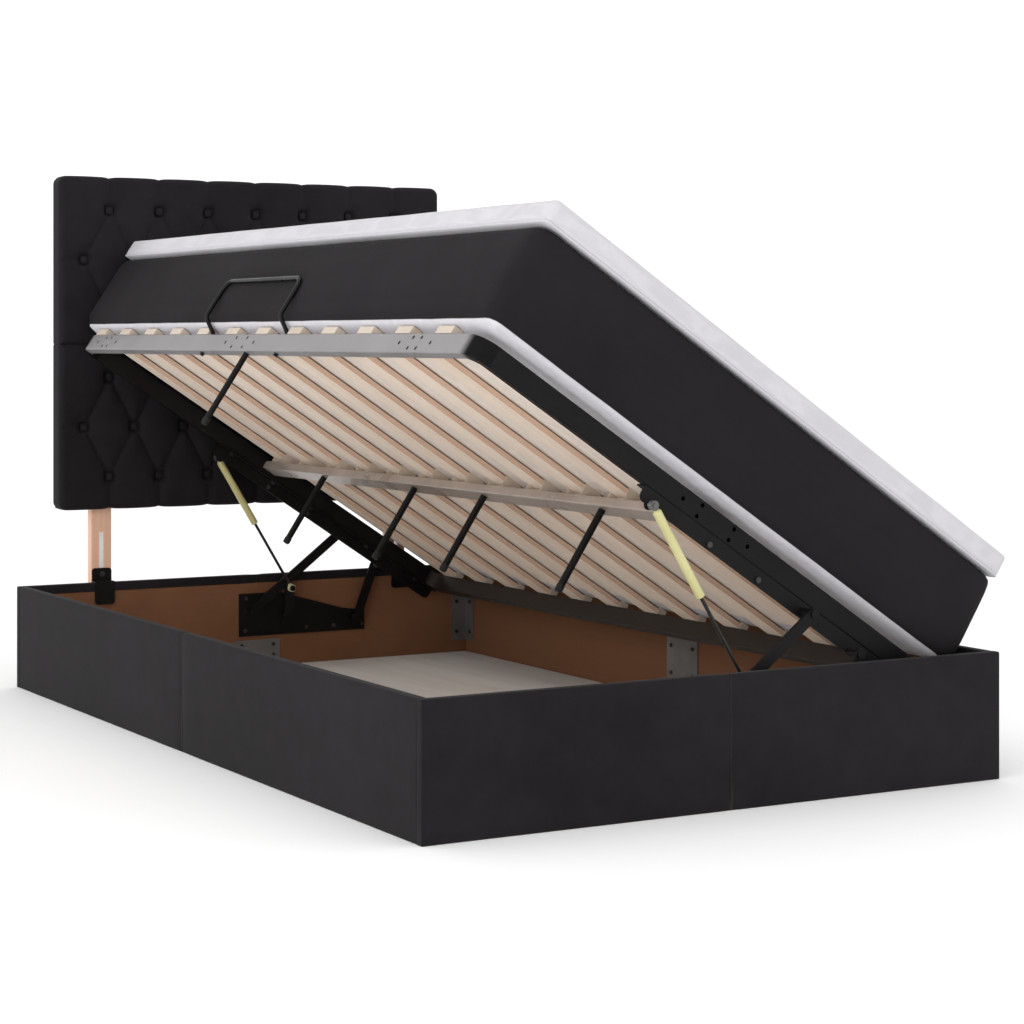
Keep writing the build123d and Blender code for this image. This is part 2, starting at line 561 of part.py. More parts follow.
MAT_N0 = CAP_TOP + 0.3
mat = Pos(MAT_W / 2, 0, MAT_N0) * extrude(RectangleRounded(MAT_W, MAT_L, MAT_CORNER), MAT_T - MAT_N0)
mat = fillet([e for e in mat.edges() if abs(e.center().Z - MAT_T) < 0.01], 14)
mat = fillet([e for e in mat.edges() if abs(e.center().Z - MAT_N0) < 0.01], 26)
mat = hollow(mat, 0, MAT_W, MAT_L / 2, MAT_N0, MAT_T, MAT_CORNER, 18)
save("mattress", place(first(mat)))
t0, t1 = MAT_T + 0.4, MAT_T + 0.4 + TOP_T
tu0, tu1, ty = -TOP_OVER - 2, MAT_W + TOP_OVER + 2, MAT_L / 2 + TOP_OVER
top = pad_block(tu0, tu1, ty, t0, t1, TOP_CORNER, 15)
top = hollow(top, tu0, tu1, ty, t0, t1, TOP_CORNER, 6)
save("topper", place(first(top)))

# ------------------------------------------------------------ printed values
shut_a = math.degrees(math.atan2(shut(*A1)[1] - A0[1], shut(*A1)[0] - A0[0]))
open_b = math.degrees(math.atan2(B1L[1] - B0[1], B1L[0] - B0[0]))
shut_b = math.degrees(math.atan2(shut(*B1)[1] - B0[1], shut(*B1)[0] - B0[0]))
shut_s = math.degrees(math.atan2(shut(*S1)[1] - S0[1], shut(*S1)[0] - S0[0])) % 360
print("nodes", len(nodes))
print("A0", A0, "A1", A1L, "B0", B0, "B1", B1L, "S0", S0, "S1", S1L)
print("link A", LINK_A_ANGLE, "to", shut_a, " link B", open_b, "to", shut_b,
      " strut", S_ANG, "to", shut_s, "length", S_LEN, "to", SHUT_LEN)
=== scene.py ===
import math

import bmesh
import bpy
from mathutils import Matrix, Vector, noise


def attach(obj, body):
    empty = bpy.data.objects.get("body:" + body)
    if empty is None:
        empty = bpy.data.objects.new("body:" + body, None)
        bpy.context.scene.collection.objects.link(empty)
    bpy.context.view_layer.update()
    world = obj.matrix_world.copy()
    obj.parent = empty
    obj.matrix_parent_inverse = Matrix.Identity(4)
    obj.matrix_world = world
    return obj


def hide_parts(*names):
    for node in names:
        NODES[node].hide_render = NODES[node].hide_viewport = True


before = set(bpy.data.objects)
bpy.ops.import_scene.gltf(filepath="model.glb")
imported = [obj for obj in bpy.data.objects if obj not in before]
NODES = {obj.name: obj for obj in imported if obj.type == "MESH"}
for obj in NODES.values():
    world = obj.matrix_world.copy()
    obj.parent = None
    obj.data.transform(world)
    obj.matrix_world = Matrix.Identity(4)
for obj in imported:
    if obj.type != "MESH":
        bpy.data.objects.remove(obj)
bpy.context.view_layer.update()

# ------------------------------------------------------------------ measures
MM = 0.001
BOX_L, BOX_W, BOX_H, WALL, WRAP = 2030.0, 1194.0, 233.0, 18.8, 20.0
HB_W, HB_Z0, HB_Z1, HB_SEAM = 1001.0, 405.0, 1190.0, 795.0
HB_FRONT, HB_CORE, HB_BACK = 992.0, 1018.5, 1044.5
TILT = 33.33
OPEN_X, OPEN_Z = -452.0, 843.3
MAT_W, MAT_L, MAT_T, MAT_N0 = 1147.6, 1952.0, 190.0, -4.2
TOP_T, TOP_OVER, TOP_HINGE = 46.0, 3.0, 16.0
PLACE = Matrix.Translation((OPEN_X * MM, 0, OPEN_Z * MM)) @ Matrix.Rotation(math.radians(TILT), 4, "Y")
TILT_ROT = (0.0, -math.radians(TILT), 0.0)


def smooth(a, b, x):
    if a == b:
        return 0.0 if x < a else 1.0
    t = min(1.0, max(0.0, (x - a) / (b - a)))
    return t * t * (3 - 2 * t)


def lump(x, y, z, size, seed=0.0):
    """Slow smooth noise from -1 to 1."""
    return noise.noise(Vector((x / size + seed, y / size - seed * 0.7, z / size + seed * 1.3)))


# ------------------------------------------------------------------ materials
class Nodes:
    """Short calls for building a node material."""

    def __init__(self, name, rough=0.5, metal=0.0, sheen=0.0, sheen_rough=0.4, coat=0.0, spec=0.5,
                 sheen_tint=(1, 1, 1, 1)):
        self.mat = bpy.data.materials.new(name)
        self.mat.use_nodes = True
        self.t = self.mat.node_tree
        self.b = self.t.nodes["Principled BSDF"]
        self.b.inputs["Roughness"].default_value = rough
        self.b.inputs["Metallic"].default_value = metal
        self.b.inputs["Sheen Weight"].default_value = sheen
        self.b.inputs["Sheen Roughness"].default_value = sheen_rough
        self.b.inputs["Sheen Tint"].default_value = sheen_tint
        self.b.inputs["Coat Weight"].default_value = coat
        self.b.inputs["Specular IOR Level"].default_value = spec

    def put(self, kind, **vals):
        n = self.t.nodes.new(kind)
        for k, v in vals.items():
            setattr(n, k, v)
        return n

    def link(self, a, b):
        self.t.links.new(a, b)

    def coords(self, scale=(1, 1, 1), rot=(0, 0, 0)):
        c = self.put("ShaderNodeTexCoord")
        m = self.put("ShaderNodeMapping")
        m.inputs["Scale"].default_value = scale
        m.inputs["Rotation"].default_value = rot
        self.link(c.outputs["Object"], m.inputs["Vector"])
        return m.outputs["Vector"]

    def turned(self, rot, scale):
        """Object coordinates turned first and then scaled."""
        c = self.coords(rot=rot)
        m = self.put("ShaderNodeMapping")
        m.inputs["Scale"].default_value = scale
        self.link(c, m.inputs["Vector"])
        return m.outputs["Vector"]

    def noise(self, vec, scale, detail=3.0, rough=0.5):
        n = self.put("ShaderNodeTexNoise")
        n.inputs["Scale"].default_value = scale
        n.inputs["Detail"].default_value = detail
        n.inputs["Roughness"].default_value = rough
        self.link(vec, n.inputs["Vector"])
        return n.outputs["Fac"]

    def wave(self, vec, scale, direction="X", distortion=0.0, profile="SIN", kind="BANDS", detail=0.0):
        n = self.put("ShaderNodeTexWave")
        n.wave_type = kind
        if kind == "BANDS":
            n.bands_direction = direction
        n.wave_profile = profile
        n.inputs["Scale"].default_value = scale
        n.inputs["Distortion"].default_value = distortion
        n.inputs["Detail"].default_value = detail
        self.link(vec, n.inputs["Vector"])
        return n.outputs["Fac"]

    def ramp(self, fac, *stops):
        n = self.put("ShaderNodeValToRGB")
        e = n.color_ramp.elements
        while len(e) < len(stops):
            e.new(0.5)
        for i, (p, c) in enumerate(stops):
            e[i].position = p
            e[i].color = (*c, 1) if len(c) == 3 else c
        self.link(fac, n.inputs["Fac"])
        return n.outputs["Color"]

    def span(self, fac, lo, hi, a=0.0, b=1.0):
        n = self.put("ShaderNodeMapRange")
        n.inputs["From Min"].default_value = a
        n.inputs["From Max"].default_value = b
        n.inputs["To Min"].default_value = lo
        n.inputs["To Max"].default_value = hi
        self.link(fac, n.inputs["Value"])
        return n.outputs["Result"]

    def mix(self, fac, a, b, mode="MIX"):
        n = self.put("ShaderNodeMix", data_type="RGBA", blend_type=mode)
        if hasattr(fac, "is_linked"):
            self.link(fac, n.inputs["Factor"])
        else:
            n.inputs["Factor"].default_value = fac
        for name, v in (("A", a), ("B", b)):
            s = [i for i in n.inputs if i.name == name and i.type == "RGBA"][0]
            if hasattr(v, "is_linked"):
                self.link(v, s)
            else:
                s.default_value = (*v, 1)
        return [o for o in n.outputs if o.type == "RGBA"][0]

    def math(self, op, a, b=None):
        n = self.put("ShaderNodeMath", operation=op)
        for i, v in enumerate((a, b)):
            if v is None:
                continue
            if hasattr(v, "is_linked"):
                self.link(v, n.inputs[i])
            else:
                n.inputs[i].default_value = v
        return n.outputs[0]

    def axes(self, vec):
        n = self.put("ShaderNodeSeparateXYZ")
        self.link(vec, n.inputs[0])
        return n.outputs["X"], n.outputs["Y"], n.outputs["Z"]

    def band(self, value, centre, half, soft):
        """1 where value lies within half of centre, falling to 0 over soft."""
        d = self.math("ABSOLUTE", self.math("SUBTRACT", value, centre))
        return self.span(d, 1.0, 0.0, half, half + soft)

    def near(self, vec, point, radius, soft):
        """1 within radius of a line along Y through point (x, z)."""
        x, _, z = self.axes(vec)
        dx = self.math("SUBTRACT", x, point[0])
        dz = self.math("SUBTRACT", z, point[1])
        d = self.math("SQRT", self.math("ADD", self.math("MULTIPLY", dx, dx), self.math("MULTIPLY", dz, dz)))
        return self.span(d, 1.0, 0.0, radius, radius + soft)

    def bump(self, height, strength, distance, normal=None):
        n = self.put("ShaderNodeBump")
        n.inputs["Strength"].default_value = strength
        n.inputs["Distance"].default_value = distance
        self.link(height, n.inputs["Height"])
        if normal is not None:
            self.link(normal, n.inputs["Normal"])
        return n.outputs["Normal"]

    def color(self, c):
        self.link(c, self.b.inputs["Base Color"])

    def rough(self, r):
        self.link(r, self.b.inputs["Roughness"])

    def normal(self, n):
        self.link(n, self.b.inputs["Normal"])


def velvet(name, dark, light, sheen=0.05, nap=(1.0, 1.0, 1.0), patch=2.4):
    """Short-pile velvet: slow patches of brushed nap over a fine pile."""
    n = Nodes(name, rough=0.85, sheen=sheen, sheen_rough=0.45, spec=0.07)
    v = n.coords(scale=nap)
    slow = n.noise(v, patch, 3.0, 0.55)
    mid = n.noise(v, 21.0, 3.0, 0.6)
    fine = n.noise(v, 900.0, 2.0, 0.6)
    both = n.math("ADD", n.math("MULTIPLY", slow, 0.7), n.math("MULTIPLY", mid, 0.3))
    base = n.ramp(both, (0.36, dark), (0.64, light))
    pile = n.ramp(fine, (0.3, (0.72, 0.72, 0.72)), (0.7, (1.0, 1.0, 1.0)))
    n.color(n.mix(1.0, base, pile, "MULTIPLY"))
    n.rough(n.span(slow, 0.74, 0.92, 0.3, 0.7))
    b = n.bump(mid, 0.10, 0.0012)
    n.normal(n.bump(fine, 0.30, 0.0006, b))
    return n.mat


def woven(name, dark, light, count=620.0, sheen=0.1, rough=0.85, spec=0.2, rot=(0, 0, 0), weave=0.35):
    """Plain woven or knitted cloth, with threads both ways."""
    n = Nodes(name, rough=rough, sheen=sheen, spec=spec)
    v = n.coords(rot=rot)
    wx = n.wave(v, count, "X", 0.6)
    wy = n.wave(v, count, "Y", 0.6)
    wz = n.wave(v, count, "Z", 0.6)
    th = n.math("MAXIMUM", n.math("MAXIMUM", wx, wy), wz)
    slow = n.noise(v, 5.0, 3.0, 0.55)
    mid = n.noise(v, 60.0, 3.0, 0.6)
    both = n.math("ADD", n.math("MULTIPLY", slow, 0.6), n.math("MULTIPLY", mid, 0.4))
    base = n.ramp(both, (0.35, dark), (0.65, light))
    shade = n.ramp(th, (0.0, (0.86, 0.86, 0.86)), (0.9, (1.0, 1.0, 1.0)))
    n.color(n.mix(1.0, base, shade, "MULTIPLY"))
    n.rough(n.span(mid, rough - 0.05, min(1.0, rough + 0.08)))
    b = n.bump(mid, 0.12, 0.0015)
    n.normal(n.bump(th, weave, 0.0004, b))
    return n.mat


def paint(name, dark, light, rough=0.38, grain=700.0, coat=0.1, metal=0.0, rust=0.06, spec=0.5, place=None, other=None):
    """Powder coat on steel: orange-peel, soft uneven gloss and light scuffs."""
    n = Nodes(name, rough=rough, coat=coat, metal=metal, spec=spec)
    v = n.coords()
    slow = n.noise(v, 9.0, 4.0, 0.6)
    fine = n.noise(v, grain, 2.0, 0.5)
    scuff = n.noise(n.coords(scale=(40, 9, 160)), 3.0, 6.0, 0.7)
    base = n.ramp(slow, (0.3, dark), (0.7, light))
    marks = n.ramp(scuff, (0.60, (0, 0, 0)), (0.74, (rust, rust, rust)))
    col = n.mix(1.0, base, marks, "ADD")
    # place and other lay a second colour over one region; on the open rail this is a painted reflection, its rounded
    # corners made near black
    if place is not None:
        col = n.mix(place(n, v), col, n.ramp(slow, (0.3, other[0]), (0.7, other[1])))
    n.color(col)
    n.rough(n.span(slow, rough - 0.07, rough + 0.10, 0.3, 0.7))
    n.normal(n.bump(fine, 0.16, 0.0004))
    return n.mat


def timber(name, dark, mid, light, along="X", rot=(0, 0, 0), rough=0.55, spec=0.3, ring=26.0, coarse=1.0,
           streak=0.25, sides=None, painted_slot_light=None):
    """Wood with long grain streaks, pores and slow colour change."""
    n = Nodes(name, rough=rough, spec=spec)
    st = {"X": (0.06, 1, 1), "Y": (1, 0.06, 1), "Z": (1, 1, 0.06)}[along]
    v = n.turned(rot, st)
    slow = n.noise(v, 7.0 * coarse, 3.0, 0.55)
    rings = n.wave(v, ring * coarse, "Z" if along != "Z" else "X", 9.0, "SIN", "BANDS", 3.0)
    fine = n.noise(v, 260.0 * coarse, 5.0, 0.7)
    both = n.math("ADD", n.math("MULTIPLY", slow, 0.55), n.math("MULTIPLY", n.span(rings, 0.5 - streak * 2, 0.5 + streak * 2), 0.25))
    both = n.math("ADD", both, n.math("MULTIPLY", fine, 0.2))
    col = n.ramp(both, (0.25, dark), (0.5, mid), (0.75, light))
    if sides is not None:
        # painted shade: faces turned towards ±Y, the slats' long edges, are darkened by the sides colour, standing in
        # for the shade they lie in
        _, ny, _ = n.axes(n.put("ShaderNodeTexCoord").outputs["Normal"])
        edge = n.span(n.math("ABSOLUTE", ny), 0.0, 1.0, 0.45, 0.8)
        col = n.mix(edge, col, n.mix(1.0, col, sides, "MULTIPLY"))
    if painted_slot_light is not None:
        # painted light: the inner walls of the slot are made near white, standing in for the bright line of light seen
        # in the slot
        x, _, z = n.axes(n.coords())
        inside = n.math("MULTIPLY", n.band(n.math("ABSOLUTE", x), painted_slot_light[0], painted_slot_light[1], 0.0002), n.band(z, *painted_slot_light[2]))
        col = n.mix(inside, col, n.ramp(fine, (0.3, (0.90, 0.89, 0.87)), (0.7, (0.95, 0.94, 0.93))))
    n.color(col)
    n.rough(n.span(fine, rough - 0.08, rough + 0.14))
    n.normal(n.bump(fine, 0.22, 0.0006))
    return n.mat


def mattress_mat():
    """Dark side band, pale cloth below, with the joint between them at a set height."""
    n = Nodes("mattress_cloth", rough=0.85, sheen=0.02, spec=0.08)
    c = n.coords()
    sep = n.put("ShaderNodeSeparateXYZ")
    n.link(c, sep.inputs[0])
    z = sep.outputs["Z"]
    wob = n.noise(c, 9.0, 2.0, 0.5)
    zz = n.math("ADD", z, n.math("MULTIPLY", n.math("SUBTRACT", wob, 0.5), 0.0015))
    low = n.span(zz, 0.0, 1.0, 0.0040, 0.0052)
    mid = n.noise(c, 55.0, 3.0, 0.6)
    slow = n.noise(c, 3.2, 3.0, 0.55)
    th = n.math("MAXIMUM", n.wave(c, 560.0, "X", 0.5), n.math("MAXIMUM", n.wave(c, 560.0, "Y", 0.5),
                                                             n.wave(c, 560.0, "Z", 0.5)))
    pale = n.ramp(mid, (0.3, (0.60, 0.585, 0.62)), (0.7, (0.66, 0.645, 0.68)))
    # painted bounce light and shade: the underside between the frame rails, above the slats, is tinted warm tan in
    # place of the light bounced from the wooden slats and the shade between them; the cloth itself is the pale lilac
    # white
    x, y, _ = n.axes(c)
    slat_bounce_mask = n.math("MULTIPLY", n.band(x, 0.5738, 0.500, 0.006), n.band(y, 0.0, 0.880, 0.006))
    pale = n.mix(slat_bounce_mask, pale, n.ramp(mid, (0.3, (0.80, 0.715, 0.64)), (0.7, (0.86, 0.775, 0.70))))
    black = n.ramp(n.math("ADD", n.math("MULTIPLY", slow, 0.7), n.math("MULTIPLY", mid, 0.3)),
                   (0.35, (0.0128, 0.0112, 0.0126)), (0.65, (0.0172, 0.0153, 0.0170)))
    col = n.mix(low, pale, black)
    shade = n.ramp(th, (0.0, (0.88, 0.88, 0.88)), (0.9, (1.0, 1.0, 1.0)))
    n.color(n.mix(1.0, col, shade, "MULTIPLY"))
    n.rough(n.span(mid, 0.74, 0.9))
    b = n.bump(mid, 0.10, 0.0015)
    n.normal(n.bump(th, 0.3, 0.0004, b))
    return n.mat


VELVET = velvet("velvet_box", (0.0128, 0.0112, 0.0127), (0.0222, 0.0196, 0.0221))
VELVET_HB = velvet("velvet_headboard", (0.0121, 0.0106, 0.0121), (0.0210, 0.0186, 0.0210), sheen=0.04)
BACKING = woven("backing_cloth", (0.010, 0.0095, 0.010), (0.018, 0.017, 0.018), 420.0, sheen=0.05)
MATTRESS = mattress_mat()
TOPPER = woven("topper_cloth", (0.565, 0.553, 0.578), (0.610, 0.597, 0.622), 520.0, sheen=0.03)
BOARD = timber("wall_board", (0.165, 0.075, 0.038), (0.195, 0.090, 0.046), (0.225, 0.105, 0.055), "Y", rough=0.75,
               spec=0.12, ring=14.0, coarse=1.4, streak=0.03)
FLOORBOARD = timber("floor_board", (0.66, 0.635, 0.60), (0.73, 0.705, 0.675), (0.80, 0.78, 0.755), "Y", rough=0.7,
                    spec=0.2, ring=10.0)
BATTEN = timber("batten_pine", (0.36, 0.23, 0.12), (0.50, 0.34, 0.19), (0.60, 0.44, 0.27), "Y", rough=0.65)
# painted shade: sides darkens the slats' long edges, which face ±Y, in place of their shade
BIRCH = timber("slat_birch", (0.80, 0.645, 0.52), (0.89, 0.755, 0.63), (0.93, 0.82, 0.71), "X", rot=TILT_ROT,
               rough=0.5, spec=0.3, ring=18.0, streak=0.12, sides=(0.76, 0.64, 0.57))
# painted light: the walls of the leg slot are painted near white in place of the bright line of light seen in it
BEECH = timber("leg_beech", (0.69, 0.40, 0.275), (0.78, 0.48, 0.34), (0.86, 0.58, 0.435), "Z", rough=0.48,
               spec=0.3, ring=22.0, streak=0.12, painted_slot_light=(0.390, 0.00462, (0.251, 0.1, 0.0004)))
# painted reflection: the open rail is the same steel as the other rails; its light grey stands in for the bright
# surroundings it reflects, and past |Y| 0.902 its rounded corners are painted near black for the dark reflection where
# the bend turns away
RAIL_PAINTED_REFLECTION = paint("rail_grey_painted_reflection", (0.235, 0.225, 0.232), (0.29, 0.28, 0.287), rough=0.38, coat=0.0, metal=0.35, rust=0.02, spec=0.15,
             place=lambda n, v: n.span(n.math("ABSOLUTE", n.axes(v)[1]), 0.0, 1.0, 0.902, 0.917),
             other=((0.0030, 0.0026, 0.0026), (0.0060, 0.0052, 0.0052)))
BLACK = paint("steel_black", (0.0045, 0.0038, 0.0038), (0.0090, 0.0078, 0.0078), rough=0.5, coat=0.0, rust=0.006, spec=0.13)
GLOSS = paint("handle_black", (0.0045, 0.0042, 0.0045), (0.0085, 0.0080, 0.0085), rough=0.26, coat=0.04, rust=0.01, spec=0.16)
# painted shade: the hinge rail is the same steel as the other rails; this dark brown stands in for the shade it lies in
HINGE = paint("rail_dark_painted_shade", (0.016, 0.012, 0.010), (0.028, 0.021, 0.018), rough=0.45, coat=0.0, rust=0.01, spec=0.25)
# painted reflection: the centre rail is the same steel as the other rails; this brownish grey stands in for the slats
# and surroundings it reflects
CENTRE_RAIL_REFLECTION = paint("rail_centre", (0.28, 0.235, 0.205), (0.42, 0.355, 0.315), rough=0.3, coat=0.2, metal=0.3, rust=0.03)
YELLOW = paint("strut_yellow", (0.50, 0.465, 0.205), (0.60, 0.565, 0.28), rough=0.35, coat=0.2, grain=300.0, rust=0.04,
               place=lambda n, v: n.near(v, (-0.120763, 0.522540), 0.0095, 0.001),
               other=((0.05, 0.048, 0.046), (0.11, 0.105, 0.10)))
PISTON = paint("piston_rod", (0.006, 0.005, 0.005), (0.012, 0.010, 0.010), rough=0.3, coat=0.1, metal=0.0, rust=0.01,
               spec=0.3, place=lambda n, v: n.near(v, (0.074, 0.200), 0.0125, 0.002),
               other=((0.52, 0.48, 0.30), (0.62, 0.58, 0.40)))
ZINC = paint("zinc_plate", (0.16, 0.155, 0.15), (0.24, 0.235, 0.23), rough=0.5, metal=0.6, coat=0.0, rust=0.03)
DARKBOLT = paint("bolt_dark", (0.030, 0.028, 0.027), (0.06, 0.056, 0.054), rough=0.4, metal=0.6, coat=0.0)
CREAM = paint("holder_plastic", (0.52, 0.43, 0.345), (0.60, 0.51, 0.42), rough=0.42, coat=0.0, grain=500.0, rust=0.03)
RUBBER = paint("foot_rubber", (0.010, 0.010, 0.010), (0.018, 0.018, 0.018), rough=0.75, coat=0.0, grain=900.0,
               rust=0.02, spec=0.25)


# ---------------------------------------------------------------- mesh helpers
def mesh_object(name, verts, faces, mat, flat=False, matrix=None):
    me = bpy.data.meshes.new(name)
    me.from_pydata([tuple(v) for v in verts], [], [tuple(f) for f in faces])
    me.validate()
    bm = bmesh.new()
    bm.from_mesh(me)
    bmesh.ops.remove_doubles(bm, verts=bm.verts, dist=1e-7)
    bmesh.ops.recalc_face_normals(bm, faces=bm.faces)
    bm.to_mesh(me)
    bm.free()
    if not flat:
        for p in me.polygons:
            p.use_smooth = True
    me.materials.append(mat)
    o = bpy.data.objects.new(name, me)
    bpy.context.scene.collection.objects.link(o)
    if matrix is not None:
        o.matrix_world = matrix
    return o


def skin_rings(rings, closed=True, cap0=False, cap1=False):
    """Verts and faces of a surface through rings of equal count."""
    verts, faces, n = [], [], len(rings[0])
    for r in rings:
        verts.extend(r)
    m = n if closed else n - 1
    for i in range(len(rings) - 1):
        for j in range(m):
            a, b = i * n + j, i * n + (j + 1) % n
            faces.append((a, b, b + n, a + n))
    if cap0:
        faces.append(tuple(range(n))[::-1])
    if cap1:
        k = (len(rings) - 1) * n
        faces.append(tuple(k + j for j in range(n)))
    return verts, faces


def joined(parts):
    """One vertex and face list from several."""
    verts, faces = [], []
    for v, f in parts:
        k = len(verts)
        verts.extend(v)
        faces.extend(tuple(i + k for i in q) for q in f)
    return verts, faces


def arc(cx, cz, r, a0, a1, n):
    return [(cx + r * math.cos(math.radians(a0 + (a1 - a0) * i / n)),
             cz + r * math.sin(math.radians(a0 + (a1 - a0) * i / n))) for i in range(n + 1)]


# ----------------------------------------------------- velvet covers of the box
XO, YO = BOX_W / 2, BOX_L / 2
PUFF = 0.35                       # how far the velvet stands off the board


def wall_cover(name, node, axis, side, lo, hi, end_lo, end_hi):
    """Cover of one half wall. end_lo and end_hi say how each end is finished: seam, joint or round."""
    out = XO if axis == "x" else YO
    r, rr = 3.6, 2.6
    w0, w1, h = -PUFF, WALL + PUFF, BOX_H + 0.3
    outer = [(w0 + 0.6, 0.4), (w0, 1.6), (w0, 40), (w0 - 0.15, 90), (w0 - 0.2, 140), (w0 - 0.1, 190), (w0, 222)]
    outer += arc(w0 + r, h - r, r, 180, 90, 6)
    outer += [(5.5, h + 0.15), (9.4, h + 0.25), (13.3, h + 0.15)]
    outer += arc(w1 - rr, h - rr, rr, 90, 0, 5)
    outer += [(w1, 222), (w1, BOX_H - WRAP + 2), (w1 - 0.1, BOX_H - WRAP + 0.4), (w1 - 0.6, BOX_H - WRAP)]
    inner = [(WALL - 0.9, BOX_H - WRAP), (WALL - 0.9, 222), (WALL - 0.9, BOX_H - 1.0), (1.0, BOX_H - 1.0),
             (1.0, 222), (1.0, 100), (1.0, 0.4)]
    prof = outer + inner
    nrm = []
    for i in range(len(prof)):
        a, b = prof[i - 1], prof[(i + 1) % len(prof)]
        dx, dz = b[0] - a[0], b[1] - a[1]
        k = math.hypot(dx, dz) or 1.0
        nrm.append((-dz / k, dx / k))          # out of the profile
    length = hi - lo
    near = [0, 0.15, 0.5, 1.0, 1.7, 2.6, 4.0, 7.0, 12.0, 20.0]
    mid = [20 + (length - 40) * k / 44 for k in range(1, 44)]
    ts = near + mid + [length - t for t in reversed(near)]
    rings = []
    n_out = len(outer)
    for t in ts:
        d, kind = (t, end_lo) if t < length / 2 else (length - t, end_hi)
        rs = {"seam": 3.6, "joint": 1.4, "round": 3.0}[kind]
        inset = rs - math.sqrt(max(0.0, rs * rs - (rs - min(d, rs)) ** 2)) if d < rs else 0.0
        pull = (2.6 if kind == "seam" else 0.4) * math.exp(-d / 8.0) if kind != "round" else 0.0
        ring = []
        for i, (a, z) in enumerate(prof):
            s = lo + t
            if i < n_out:
                # slight unevenness, and faint puckers beside a seam
                off = 0.22 * lump(s, z, out, 170.0, 3.1) + 0.10 * lump(s, z, out, 46.0, 7.7)
                if kind == "seam":
                    off += 0.28 * math.exp(-d / 22.0) * math.sin(z / 6.5 + 1.7 * lump(s, z, 0, 40, 5.0))
                edge = -inset - pull + off * (0.35 if z > BOX_H - 6 else 1.0)
            else:
                edge = 0.0
            ax, az = a + nrm[i][0] * edge, max(z + nrm[i][1] * edge, 0.2)
            p = side * (out - ax)
            ring.append((p * MM, s * MM, az * MM) if axis == "x" else (s * MM, p * MM, az * MM))
        rings.append(ring)
    parts = [skin_rings(rings, closed=True, cap0=True, cap1=True)]
    for kind, pos, sg in ((end_lo, lo, -1), (end_hi, hi, 1)):
        if kind != "round":
            continue
        # flap that covers the board's bare end, folded round both edges
        e0, e1 = -PUFF, WALL + PUFF
        loop = []
        rc = 3.4
        base = [(e0, 0.4), (e0, 60), (e0, 120), (e0, 180)] + arc(e0 + rc, h - rc, rc, 180, 90, 5) \
            + arc(e1 - rc, h - rc, rc, 90, 0, 5) + [(e1, 180), (e1, 120), (e1, 60), (e1, 0.4)]
        cx = (e0 + e1) / 2
        for (dep, ins) in ((-3.2, -0.05), (-1.8, 0.0), (-0.6, 0.35), (0.15, 1.1), (0.5, 2.3), (0.6, 4.2)):
            ring = []
            for (a, z) in base:
                aa = a + (ins if a < cx else -ins)
                zz = z - (ins if z > 200 else 0)
                s = pos + sg * (dep + 0.12 * lump(a * 3, z, pos, 60.0, 2.2))
                p = side * (out - aa)
                ring.append((p * MM, s * MM, zz * MM) if axis == "x" else (s * MM, p * MM, zz * MM))
            loop.append(ring)
        parts.append(skin_rings(loop, closed=True, cap1=True))
    v, f = joined(parts)
    o = mesh_object(name, v, f, VELVET)
    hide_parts(node)
    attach(o, "root")
    return o


YI = YO - WALL
wall_cover("cover_side_open_foot", "side_cover_open_foot", "x", -1, -YI + 0.3, -0.3, "joint", "seam")
wall_cover("cover_side_open_head", "side_cover_open_head", "x", -1, 0.3, YI - 0.3, "seam", "joint")
wall_cover("cover_side_hinge_foot", "side_cover_hinge_foot", "x", 1, -YI + 0.3, -0.3, "joint", "seam")
wall_cover("cover_side_hinge_head", "side_cover_hinge_head", "x", 1, 0.3, YI - 0.3, "seam", "joint")
wall_cover("cover_foot_open", "foot_cover_open", "y", -1, -XO, -0.3, "round", "seam")
wall_cover("cover_foot_hinge", "foot_cover_hinge", "y", -1, 0.3, XO, "seam", "round")
wall_cover("cover_head_open", "head_cover_open", "y", 1, -XO, -0.3, "round", "seam")
wall_cover("cover_head_hinge", "head_cover_hinge", "y", 1, 0.3, XO, "seam", "round")

# ------------------------------------------------------------ tufted headboard
HX = HB_W / 2
ROW_A = [-HX + HB_W * (k + 1) / 8 for k in range(7)]
ROW_B = [-HX + HB_W * (k + 0.5) / 8 for k in range(8)]
ROW_DZ = 118.0


def segments(z0, z1, top_free, bottom_free):
    """Fold lines of one panel, each with its depth."""
    zc = (z0 + z1) / 2
    zt, zb = zc + ROW_DZ, zc - ROW_DZ
    out = []
    for k, x in enumerate(ROW_A):
        for z in (zt, zb):
            out.append(((x, z), (ROW_B[k], zc), 1.0))
            out.append(((x, z), (ROW_B[k + 1], zc), 1.0))
        out.append(((x, zt), (x, z1 + 4), 0.62))
        out.append(((x, zb), (x, z0 - 4), 0.62))
    for x, s in ((ROW_B[0], -1), (ROW_B[-1], 1)):
        out.append(((x, zc), (s * (HX + 4), zc), 0.5))
    return out


def seg_dist(px, pz, a, b):
    dx, dz = b[0] - a[0], b[1] - a[1]
    t = ((px - a[0]) * dx + (pz - a[1]) * dz) / (dx * dx + dz * dz)
    t = min(1.0, max(0.0, t))
    return math.hypot(px - a[0] - t * dx, pz - a[1] - t * dz), t


